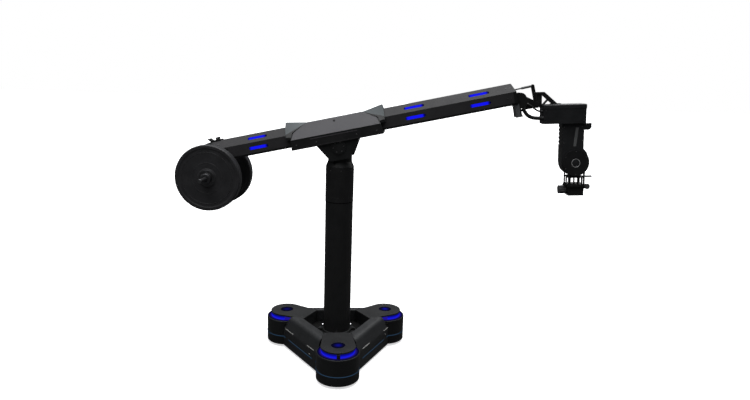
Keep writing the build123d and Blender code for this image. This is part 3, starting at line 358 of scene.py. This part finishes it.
M = {
    "column": surface("column_paint", (0.014, 0.014, 0.0145), 0.42, spec=0.22, grain=0.9, bump=0.12,
                      vary=0.12, edge=1.5),
    "cast": surface("cast_black", (0.012, 0.0125, 0.013), 0.5, spec=0.2, grain=1.6, bump=0.4, depth=0.2,
                    wear=2.2),
    "boom": surface("boom_paint", (0.034, 0.033, 0.035), 0.46, spec=0.22, grain=0.8, bump=0.2, vary=0.1,
                    edge=1.4, wear=1.5, dust=0.05),
    "house": surface("house_paint", (0.016, 0.016, 0.017), 0.45, spec=0.22, grain=0.8, bump=0.2, wear=2.2),
    "slate": surface("slate_plate", (0.056, 0.054, 0.060), 0.5, spec=0.3, metal=0.0, grain=0.7, bump=0.15,
                     vary=0.07, stretch=(0.15, 1, 1), wear=1.25, edge=0.8),
    # The fairings' lower part is painted shade, made black by height on the boom.
    "fairing": surface("fairing_grey", (0.068, 0.080, 0.086), 0.42, spec=0.35, grain=0.9, bump=0.18,
                       vary=0.1, wear=1.5, edge=2.0, paint=fairing_painted_shade),
    "shell": surface("base_moulding", (0.019, 0.020, 0.021), 0.44, spec=0.25, grain=1.1, bump=0.3,
                     vary=0.14, edge=2.0, wear=1.7, dust=0.06),
    "skirt": surface("pod_moulding", (0.012, 0.0125, 0.013), 0.4, spec=0.22, grain=1.1, bump=0.25,
                     vary=0.12, edge=1.6, wear=2.4),
    "lid": surface("lid_moulding", (0.012, 0.0125, 0.013), 0.46, spec=0.28, grain=1.1, bump=0.3, vary=0.12,
                   edge=1.5, wear=2.2, dust=0.03),
    "well": surface("well_black", (0.003, 0.003, 0.003), 0.7, spec=0.1, grain=1.6, bump=0.3, wear=1.6),
    "dark_steel": surface("dark_steel", (0.10, 0.10, 0.105), 0.36, spec=0.5, metal=0.9, grain=0.5,
                          bump=0.12, vary=0.12, stretch=(1, 0.1, 1), wear=1.7),
    "bright_steel": surface("bright_steel", (0.72, 0.72, 0.74), 0.16, spec=0.5, metal=1.0, grain=0.4,
                            bump=0.05, vary=0.05, wear=1.05, edge=0.4),
    "bronze": surface("bush_bronze", (0.52, 0.33, 0.13), 0.34, spec=0.5, metal=1.0, grain=0.5, bump=0.1,
                      vary=0.1),
    "rubber": surface("plate_rubber", (0.026, 0.026, 0.028), 0.5, spec=0.28, grain=2.2, bump=0.5,
                      depth=0.25, vary=0.2, edge=4.0, wear=2.6, wear_rough=-0.04),
    "tyre": surface("tyre_rubber", (0.022, 0.022, 0.022), 0.62, spec=0.25, grain=1.5, bump=0.4, vary=0.2,
                    wear=1.8),
    "sheath": surface("cable_sheath", (0.010, 0.010, 0.0105), 0.5, spec=0.25, grain=0.9, bump=0.35,
                      vary=0.15, stretch=(1, 1, 1), wear=1.5),
    "battery": surface("battery_case", (0.05, 0.055, 0.06), 0.5, spec=0.3, grain=1.0, bump=0.25, wear=1.8),
    "controller": surface("controller_case", (0.3, 0.31, 0.32), 0.38, spec=0.4, metal=0.8, grain=0.6,
                          bump=0.15, stretch=(0.1, 1, 1)),
    "nose": surface("nose_black", (0.012, 0.012, 0.0125), 0.42, spec=0.25, grain=1.0, bump=0.25, wear=2.4),
    "head": surface("head_moulding", (0.018, 0.0185, 0.020), 0.44, spec=0.24, grain=1.0, bump=0.25,
                    wear=2.4, edge=1.8),
    "trim": surface("trim_grey", (0.12, 0.122, 0.124), 0.45, spec=0.3, grain=0.6, bump=0.15, wear=1.3),
    "ring": surface("ring_light", (0.90, 0.90, 0.92), 0.4, spec=0.3, grain=0.6, bump=0.1, wear=1.1),
    "knob": surface("knob_grey", (0.07, 0.07, 0.072), 0.5, spec=0.3, grain=0.8, bump=0.3, wear=2.2),
    "bracket": surface("bracket_grey", (0.009, 0.009, 0.0095), 0.42, spec=0.3, grain=0.8, bump=0.2,
                       wear=2.2, paint=clevis_paint),
    "bolt": surface("bolt_black", (0.055, 0.055, 0.057), 0.34, spec=0.5, metal=0.3, grain=0.4, bump=0.1,
                    wear=3.0, edge=0.4),
    # Light grey strips: painted highlight for the glints on the base covers' bend.
    "strip": surface("strip_painted_glint", (0.62, 0.62, 0.6), 0.3, spec=0.5, metal=0.35, grain=0.4, bump=0.08,
                     vary=0.06, wear=1.1, edge=0.4),
    "seam": surface("seam_black", (0.002, 0.002, 0.002), 0.8, spec=0.05, grain=1.0, bump=0.2, wear=1.2),
    "boom_glow": glow_material("boom_glow", (0.006, 0.007, 0.86), 1.05, boom_falloff),
    "base_glow": glow_material("base_glow", (0.008, 0.010, 0.80), 1.0, base_falloff,
                               line_color=(0.24, 0.55, 1.0)),
    # The deck sheets glow though they are no lamp: painted light from the pods' rings.
    "deck_painted_light": glow_material("deck_painted_light", (0.03, 0.015, 0.55), 0.5, deck_light_spill),
}

NODE_LOOKS = {
    "column": "column_tube pan_drum",
    "cast": "chassis_frame column_flange column_head weight_bracket saddle_frame pivot_caps",
    "boom": "boom_tube_rear boom_tube_front",
    "house": "housing_shell_front housing_shell_rear",
    "slate": "top_plates",
    "fairing": "fairing_front fairing_rear",
    "shell": "beam_cover_left beam_cover_right beam_cover_rear",
    "skirt": "pod_housing_front pod_housing_right pod_housing_left",
    "lid": "lid_front lid_right lid_left",
    "well": "well_floor",
    "dark_steel": "pan_bearing pivot_shaft weight_rod weight_collars fork_front fork_right fork_left",
    "bright_steel": "flange_studs",
    "bolt": "pivot_screws",
    "bronze": "pivot_bushes",
    "rubber": "weight_front weight_rear",
    "tyre": "tyre_front tyre_right tyre_left",
    "nose": "nose_frame cradle_frame camera_plate hub_front hub_right hub_left",
    "head": "head_box head_lid arm_housing",
    "trim": "arm_trim tie_rod",
    "knob": "plate_knob side_knob",
    "bracket": "nose_clevis",
    "battery": "battery_pack",
    "controller": "drive_controller",
    "boom_glow": "boom_lights",
    "base_glow": "base_lights",
    "sheath": "cable_lower cable_upper",
}
for look, names in NODE_LOOKS.items():
    for node_name in names.split():
        node_object = NODES[node_name]
        for place in range(max(1, len(node_object.material_slots))):
            if node_object.material_slots:
                node_object.material_slots[place].material = M[look]
            else:
                node_object.data.materials.append(M[look])


# ---- mesh helpers -----------------------------------------------------------------------------
def finish_piece(name, bm, look, body, smooth_angle=35.0):
    """Turns a bmesh into a piece that rides on a body."""
    bmesh.ops.remove_doubles(bm, verts=bm.verts, dist=1e-6)
    bmesh.ops.recalc_face_normals(bm, faces=bm.faces)
    for edge in bm.edges:
        edge.smooth = len(edge.link_faces) == 2 and edge.calc_face_angle(0) < radians(smooth_angle)
    for face in bm.faces:
        face.smooth = True
    mesh = bpy.data.meshes.new(name)
    bm.to_mesh(mesh)
    bm.free()
    mesh.materials.append(M[look])
    piece = bpy.data.objects.new(name, mesh)
    scene.collection.objects.link(piece)
    if body:
        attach(piece, body)
    return piece


def axes_for(normal, along=None):
    """Two unit vectors square to normal, the first nearest to along."""
    normal = Vector(normal).normalized()
    hint = Vector(UP) if abs(normal.z) < 0.9 else Vector((1, 0, 0))
    if along is not None:
        hint = Vector(along)
    first = (hint - normal * hint.dot(normal)).normalized()
    return first, normal.cross(first), normal


def add_lathe(bm, origin, axis, profile, segments=32, along=None):
    """A closed profile of (radius, height) in millimetres turned about an axis."""
    u, v, n = axes_for(axis, along)
    rings = []
    for radius, height in profile:
        centre = Vector(origin) + n * (height * MM)
        if radius <= 0:
            rings.append([bm.verts.new(centre)])
            continue
        angles = [2 * pi * k / segments for k in range(segments)]
        rings.append([bm.verts.new(centre + (u * cos(a) + v * sin(a)) * (radius * MM)) for a in angles])
    for a, b in zip(rings, rings[1:]):
        for k in range(segments):
            j = (k + 1) % segments
            corners = [a[k % len(a)], a[j % len(a)], b[j % len(b)], b[k % len(b)]]
            unique = list(dict.fromkeys(corners))
            if len(unique) > 2:
                bm.faces.new(unique)
    for ring in (rings[0], rings[-1]):
        if len(ring) > 2:
            bm.faces.new(ring)


def screw_profile(radius, height, recess=0.5):
    """A cap screw with a chamfered head and a round socket."""
    return [(0, height * (1 - recess)), (radius * 0.48, height * (1 - recess)), (radius * 0.52, height),
            (radius * 0.88, height), (radius, height * 0.82), (radius, 0), (0, 0)]


def add_prism(bm, origin, normal, along, outline, depth, chamfer=0.0):
    """An outline of (along, across) millimetres raised along normal, with a chamfered top edge."""
    u, v, n = axes_for(normal, along)
    middle = Vector((sum(p[0] for p in outline), sum(p[1] for p in outline))) / len(outline)

    def loop(height, inset):
        row = []
        for x, y in outline:
            away = Vector((x, y)) - middle
            shrink = max(0.0, 1 - inset / max(away.length, 1e-6))
            p = middle + away * shrink
            row.append(bm.verts.new(Vector(origin) + (u * p.x + v * p.y + n * height) * MM))
        return row

    loops = [loop(0, 0), loop(depth - chamfer, 0)]
    if chamfer:
        loops.append(loop(depth, chamfer))
    for a, b in zip(loops, loops[1:]):
        for k in range(len(a)):
            j = (k + 1) % len(a)
            bm.faces.new([a[k], a[j], b[j], b[k]])
    bm.faces.new(list(reversed(loops[0])))
    bm.faces.new(loops[-1])


def stadium(length, width, steps=8):
    """A round-ended outline."""
    r = width / 2
    half = length / 2 - r
    points = []
    for middle, start in ((half, -90), (-half, 90)):
        for k in range(steps + 1):
            a = radians(start + 180 * k / steps)
            points.append((middle + r * cos(a), r * sin(a)))
    return points


def rectangle(length, width, corner=0.0, steps=4):
    """A rectangle with rounded corners."""
    x, y = length / 2 - corner, width / 2 - corner
    if corner == 0:
        return [(x, y), (-x, y), (-x, -y), (x, -y)]
    points = []
    for cx, cy, start in ((x, y, 0), (-x, y, 90), (-x, -y, 180), (x, -y, 270)):
        for k in range(steps + 1):
            a = radians(start + 90 * k / steps)
            points.append((cx + corner * cos(a), cy + corner * sin(a)))
    return points


def screws(name, body, places, radius, height, look="bolt"):
    """Many alike screws as one piece: places are (origin, outward axis)."""
    bm = bmesh.new()
    for origin, axis in places:
        add_lathe(bm, origin, axis, screw_profile(radius, height), 18)
    return finish_piece(name, bm, look, body)


# ---- base details -----------------------------------------------------------------------------
# Slim raised strips on the beam covers. Their bright colour is painted highlight where glints fall on the
# covers' bend.
BEAM_GLINT_STRIPS = {"left": ((-172, 125, 155), (148, 95, 155), (142, 14, 107)),
                "right": ((-120, 110, 155), (220, 80, 155), (206, 14, 120))}
for beam, streaks in BEAM_GLINT_STRIPS.items():
    bm = bmesh.new()
    for across, length, z in streaks:
        tilt = radians(11 if z > 150 else 0)
        outward = on_base(BEAM_ANGLE[beam], 1000, 0, 0)
        outward = (outward * cos(tilt) + Vector((0, 0, sin(tilt)))).normalized()
        along = on_base(BEAM_ANGLE[beam], 0, 1000, 0)
        reach = 303.6 if z > 150 else 305.6
        add_prism(bm, on_base(BEAM_ANGLE[beam], reach, across, z), outward, along,
                  stadium(length, 4.5 if length > 20 else 4), 1.6, 0.7)
    finish_piece("glint_strips_" + beam, bm, "strip", "base")

for name, angle in POD_ANGLE.items():
    places = []
    for side in (-1, 1):
        places.append((on_base(angle, 252, side * 84, LID_FACE_Z), UP))
        places.append((on_base(angle, 470, side * 88, LID_FACE_Z), UP))
    screws("lid_screws_" + name, "base", places, 4.2, 1.4)
    bm = bmesh.new()
    add_lathe(bm, on_base(angle, POD_REACH, 0, 244.6), UP,
              [(48.4, -0.4), (48.4, 0.5), (49.4, 0.9), (51.0, 0.8), (51.8, 0.1), (51.8, -0.4)], 64)
    finish_piece("lamp_bezel_" + name, bm, "lid", "base")
    # A thin emitting ring on the deck round each pod: painted light from the ring under the lid.
    bm = bmesh.new()
    add_lathe(bm, on_base(angle, POD_REACH, 0, DECK_Z), UP,
              [(100, 0), (141, 0), (141, 0.5), (100, 0.5)], 96)
    finish_piece("deck_painted_light_" + name, bm, "deck_painted_light", "base")
    bm = bmesh.new()
    for side in (-1, 1):
        add_prism(bm, on_base(angle, 325, side * 114, LINER_Z), UP, on_base(angle, 1000, 0, 0),
                  rectangle(150, 50, 4), 1.5, 0.4)
    finish_piece("trench_liner_" + name, bm, "well", "base")

places = []
for step in range(6):
    places.append((on_base(BASE_YAW + 30 + 60 * step, 121, 0, 163.9), UP))
screws("flange_screws", "base", places, 5, 5)


# ---- column details ---------------------------------------------------------------------------
bm = bmesh.new()
add_lathe(bm, (0, 0, 1.146), (0, 0, 1), [(98.2, -2.4), (99.0, -2.4), (99.0, 1.2), (98.2, 1.2)], 96)
finish_piece("drum_seal", bm, "seam", "base")
places = []
for step in range(8):
    a = radians(45 * step + 12)
    outward = Vector((cos(a), sin(a), 0))
    places.append((outward * DRUM_FACE + Vector((0, 0, 1.372)), outward))
screws("drum_screws", "turntable", places, 4.5, 1.6)
bm = bmesh.new()
add_lathe(bm, (0, 0, 1.18), (0, 0, 1), [(99.3, 0), (99.85, 0.5), (99.85, 3.5), (99.3, 4)], 96)
add_lathe(bm, (0, 0, 1.3935), (0, 0, 1), [(99.1, 0), (99.8, 0.6), (99.8, 2.6), (99.1, 3.2)], 96)
finish_piece("drum_bands", bm, "column", "turntable")


# ---- boom details -----------------------------------------------------------------------------
def house_strip(name, s0, s1, h0, h1, depth, look, side=-1):
    bm = bmesh.new()
    middle = on_boom((s0 + s1) / 2, side * 119.8, (h0 + h1) / 2)
    add_prism(bm, middle, SIDE * side, BOOM_X, rectangle(s1 - s0, h1 - h0, 2), depth, 0.6)
    return finish_piece(name, bm, look, "boom")


for side, tag in ((-1, "front"), (1, "rear")):
    house_strip("housing_ledge_" + tag, -180, 150, 86, 92, 1.6, "slate", side)
    house_strip("housing_rail_" + tag, -300, 300, 37, 41, 1.2, "boom", side)
    places = [(on_boom(s, side * 119.9, 62), SIDE * side) for s in (-280, -140, 140, 280)]
    screws("housing_screws_" + tag, "boom", places, 5, 2.2)

roof_size = hypot(ROOF_RUN, ROOF_RISE)
places = []
for side in (-1, 1):
    outward = SIDE * (side * ROOF_RISE / roof_size) + BOOM_Z * (ROOF_RUN / roof_size)
    for s, part in ((-282, 0.1), (282, 0.1), (-205, 0.86), (205, 0.86), (0, 0.1)):
        foot = on_boom(s, side * (ROOF_EAVE_Y - ROOF_RUN * part), ROOF_EAVE_H + ROOF_RISE * part)
        places.append((foot + outward * 0.0028, outward))
screws("roof_screws", "boom", places, 4, 1.6)

bm = bmesh.new()
for side in (-1, 1):
    outward = SIDE * (side * ROOF_RISE / roof_size) + BOOM_Z * (ROOF_RUN / roof_size)
    add_lathe(bm, on_boom(0, side * 51, 178) + outward * 0.0028, outward,
              [(0, 0), (8, 0), (8, 2), (6.5, 3), (3.5, 3), (3, 1.8), (0, 1.8)], 32)
finish_piece("roof_plugs", bm, "cast", "boom")

places = []
facet_size = hypot(FACET_RUN, FACET_RISE)
for side in (-1, 1):
    facet = SIDE * (side * FACET_RISE / facet_size) + BOOM_Z * (FACET_RUN / facet_size)
    for s in (-862, -842, 1176, 1200):
        places.append((on_boom(s, side * 75, 104), SIDE * side))
        places.append((on_boom(s, side * 52.5, 167.5), facet))
screws("tube_screws", "boom", places, 4, 1.8)


# ---- counterweight details --------------------------------------------------------------------
for side, tag in ((-1, "front"), (1, "rear")):
    outward = SIDE * side
    centre = on_boom(WEIGHT_S, side * WEIGHT_FACE_Y, WEIGHT_H)
    bm = bmesh.new()
    add_lathe(bm, centre, outward, [(52.5, -1), (52.5, 1.0), (53.5, 1.8), (56.5, 1.8), (57.5, 1.0),
                                    (57.5, -1)], 96)
    finish_piece("plate_hub_ring_" + tag, bm, "dark_steel", "boom")
    bm = bmesh.new()
    add_lathe(bm, centre, outward, [(104, -3.4), (105, -2.0), (107, -2.0), (108, -3.4)], 96)
    add_lathe(bm, centre, outward, [(176, -3.4), (177, -2.0), (179, -2.0), (180, -3.4)], 96)
    finish_piece("plate_beads_" + tag, bm, "rubber", "boom")
    bm = bmesh.new()
    add_lathe(bm, on_boom(WEIGHT_S, side * COLLAR_FACE_Y, WEIGHT_H), outward,
              [(15.2, 0), (33, 0), (35, 1), (35, 5), (33, 6.5), (18, 6.5), (15.2, 5)], 64)
    finish_piece("rod_washer_" + tag, bm, "dark_steel", "boom")
    places = []
    for step in range(6):
        a = radians(60 * step + 20)
        places.append((centre + (BOOM_X * cos(a) + BOOM_Z * sin(a)) * 0.043, outward))
    screws("hub_screws_" + tag, "boom", places, 4, 2)


# ---- head details -----------------------------------------------------------------------------
for side, tag in ((-1, "front"), (1, "rear")):
    outward = SIDE * side
    bm = bmesh.new()
    centre = on_head(TILT_X, side * 64, TILT_Z)
    add_lathe(bm, centre, outward, [(26.4, -0.3), (26.4, 1.0), (28.2, 1.0), (28.2, -0.3)], 72)
    finish_piece("tilt_ring_" + tag, bm, "ring", "cradle")
    bm = bmesh.new()
    add_lathe(bm, centre, outward, [(0, 0), (24, 0), (24.5, 0.8), (22, 1.4), (0, 1.4)], 64)
    finish_piece("tilt_cap_" + tag, bm, "head", "cradle")
    places = [(on_head(x, side * 51.9, z), outward) for x, z in ((1507, 1714), (1624, 1714), (1507, 1606))]
    screws("arm_screws_" + tag, "arm", places, 4, 1.8)
    places = []
    for step in range(6):
        a = radians(60 * step + 30)
        places.append((on_head(TILT_X + 78 * cos(a), side * 63.9, TILT_Z + 78 * sin(a)), outward))
    screws("tilt_screws_" + tag, "cradle", places, 4, 1.8)
    places = [(on_head(x, side * 71.9, z), outward) for x in (1381, 1629) for z in (1756, 1826)]
    screws("box_screws_" + tag, "nose", places, 3.6, 1.6)


# ---- cables: the route's points are those of the CAD cables -------------------------------------
def route_curve(name, points):
    curve = bpy.data.curves.new(name, "CURVE")
    curve.dimensions = "3D"
    curve.resolution_u = 24
    spline = curve.splines.new("NURBS")
    spline.points.add(len(points) - 1)
    for place, point in zip(spline.points, points):
        place.co = (*point, 1)
    spline.order_u = 3
    spline.use_endpoint_u = True
    return bpy.data.objects.new(name, curve)


def read_line(points):
    holder = route_curve("route", points)
    scene.collection.objects.link(holder)
    bpy.context.view_layer.update()
    line = bpy.data.meshes.new_from_object(holder)
    result = [v.co.copy() for v in line.vertices]
    bpy.data.objects.remove(holder)
    bpy.data.meshes.remove(line)
    return result


def cable_piece(name, node, points, diameter):
    """A round cable along its route."""
    line = read_line(points)
    bm = bmesh.new()
    rings = []
    for k, place in enumerate(line):
        before, after = line[max(0, k - 1)], line[min(len(line) - 1, k + 1)]
        u, v, n = axes_for(after - before, SIDE)
        angles = [2 * pi * j / 24 for j in range(24)]
        rings.append([bm.verts.new(place + (u * cos(a) + v * sin(a)) * (diameter / 2)) for a in angles])
    for a, b in zip(rings, rings[1:]):
        for j in range(24):
            bm.faces.new([a[j], a[(j + 1) % 24], b[(j + 1) % 24], b[j]])
    bm.faces.new(rings[0])
    bm.faces.new(rings[-1])
    piece = finish_piece(name, bm, "sheath", None, 60)
    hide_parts(node)
    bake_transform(piece)
    return piece


cable_piece("lower_cable", "cable_lower",
            [(1.234, CABLE_Y, 1.836), (1.253, CABLE_Y, 1.804), (1.285, CABLE_Y, 1.783),
             (1.3274, CABLE_Y, 1.7770), (1.3673, CABLE_Y, 1.7794)], 0.025)
cable_piece("upper_cable", "cable_upper",
            [(1.258, CABLE_Y, 1.868), (1.284, CABLE_Y, 1.861), (1.307, CABLE_Y, 1.841),
             (1.3387, CABLE_Y, 1.8227), (1.3687, CABLE_Y, 1.8245)], 0.012)


# ---- studio -----------------------------------------------------------------------------------
def build_floor():
    bm = bmesh.new()
    half = FLOOR_HALF
    corners = [bm.verts.new((x, y, -0.001)) for x, y in ((-half, -half), (half, -half), (half, half),
                                                         (-half, half))]
    bm.faces.new(corners)
    mesh = bpy.data.meshes.new("studio_floor")
    bm.to_mesh(mesh)
    bm.free()
    g = Graph("floor_paper")
    seen = g.node("LightPath")
    grain = g.noise(g.coords(), 0.4, 3.0)
    g.link(g.blend(g.span(grain, 0.3, 0.7, 0, 1), (0.80, 0.80, 0.80), (0.84, 0.84, 0.84)),
           g.shader.inputs["Base Color"])
    g.shader.inputs["Roughness"].default_value = 0.9
    g.shader.inputs["Specular IOR Level"].default_value = 0.0
    g.shader.inputs["Emission Color"].default_value = (1, 1, 1, 1)
    g.shader.inputs["Emission Strength"].default_value = 0.62
    dark = g.node("BsdfDiffuse")
    dark.inputs["Color"].default_value = (0.05, 0.05, 0.05, 1)
    mix = g.node("MixShader")
    g.link(seen.outputs["Is Camera Ray"], mix.inputs[0])
    g.link(dark.outputs[0], mix.inputs[1])
    g.link(g.shader.outputs[0], mix.inputs[2])
    g.link(mix.outputs[0], g.out.inputs["Surface"])
    mesh.materials.append(g.material)
    floor = bpy.data.objects.new("studio_floor", mesh)
    scene.collection.objects.link(floor)


def build_world():
    world = bpy.data.worlds.new("studio")
    scene.world = world
    world.use_nodes = True
    tree = world.node_tree
    tree.nodes.clear()
    out = tree.nodes.new("ShaderNodeOutputWorld")
    path = tree.nodes.new("ShaderNodeLightPath")
    place = tree.nodes.new("ShaderNodeTexCoord")
    parts = tree.nodes.new("ShaderNodeSeparateXYZ")
    tree.links.new(place.outputs["Generated"], parts.inputs[0])
    rise = tree.nodes.new("ShaderNodeMath")
    rise.operation = "MAXIMUM"
    rise.inputs[1].default_value = 0.0
    tree.links.new(parts.outputs["Z"], rise.inputs[0])
    power = tree.nodes.new("ShaderNodeMath")
    power.operation = "POWER"
    power.inputs[1].default_value = 7.0
    tree.links.new(rise.outputs[0], power.inputs[0])
    level = tree.nodes.new("ShaderNodeMath")
    level.operation = "MULTIPLY_ADD"
    level.inputs[1].default_value = 6.2
    level.inputs[2].default_value = 0.06
    tree.links.new(power.outputs[0], level.inputs[0])
    sky = tree.nodes.new("ShaderNodeBackground")
    sky.inputs["Color"].default_value = (0.98, 0.99, 1.0, 1)
    tree.links.new(level.outputs[0], sky.inputs["Strength"])
    paper = tree.nodes.new("ShaderNodeBackground")
    paper.inputs["Color"].default_value = (1, 1, 1, 1)
    paper.inputs["Strength"].default_value = 1.0
    mix = tree.nodes.new("ShaderNodeMixShader")
    tree.links.new(path.outputs["Is Camera Ray"], mix.inputs[0])
    tree.links.new(sky.outputs[0], mix.inputs[1])
    tree.links.new(paper.outputs[0], mix.inputs[2])
    tree.links.new(mix.outputs[0], out.inputs["Surface"])


def soft_light(name, place, target, size, power):
    data = bpy.data.lights.new(name, "AREA")
    data.shape = "RECTANGLE"
    data.size, data.size_y = size
    data.energy = power
    light = bpy.data.objects.new(name, data)
    light.location = place
    light.rotation_mode = "QUATERNION"
    light.rotation_quaternion = (Vector(target) - Vector(place)).to_track_quat("-Z", "Y")
    scene.collection.objects.link(light)


def build_camera():
    """The camera stands where the crane was photographed from."""
    yaw, pitch, roll = radians(3.37), radians(11.02), radians(1.82)
    forward = Vector((-sin(yaw) * cos(pitch), cos(yaw) * cos(pitch), -sin(pitch)))
    right = Vector((cos(yaw), sin(yaw), 0))
    up = right.cross(forward)
    right_rolled = right * cos(roll) + up * sin(roll)
    up_rolled = up * cos(roll) - right * sin(roll)
    data = bpy.data.cameras.new("camera")
    data.lens = 28.8
    data.sensor_width = 36.0
    data.clip_start, data.clip_end = 0.05, 200
    camera = bpy.data.objects.new("camera", data)
    rotation = Matrix((right_rolled, up_rolled, -forward)).transposed().to_4x4()
    camera.matrix_world = Matrix.Translation((0.5006, -4.1732, 1.9758)) @ rotation
    scene.collection.objects.link(camera)
    scene.camera = camera


build_floor()
build_world()
soft_light("key_soft", (-1.6, -2.6, 4.2), (0.0, 0.0, 1.0), (2.4, 1.6), 22)
soft_light("rim_soft", (2.6, 2.2, 3.4), (0.2, 0.0, 1.2), (2.0, 1.6), 35)
build_camera()
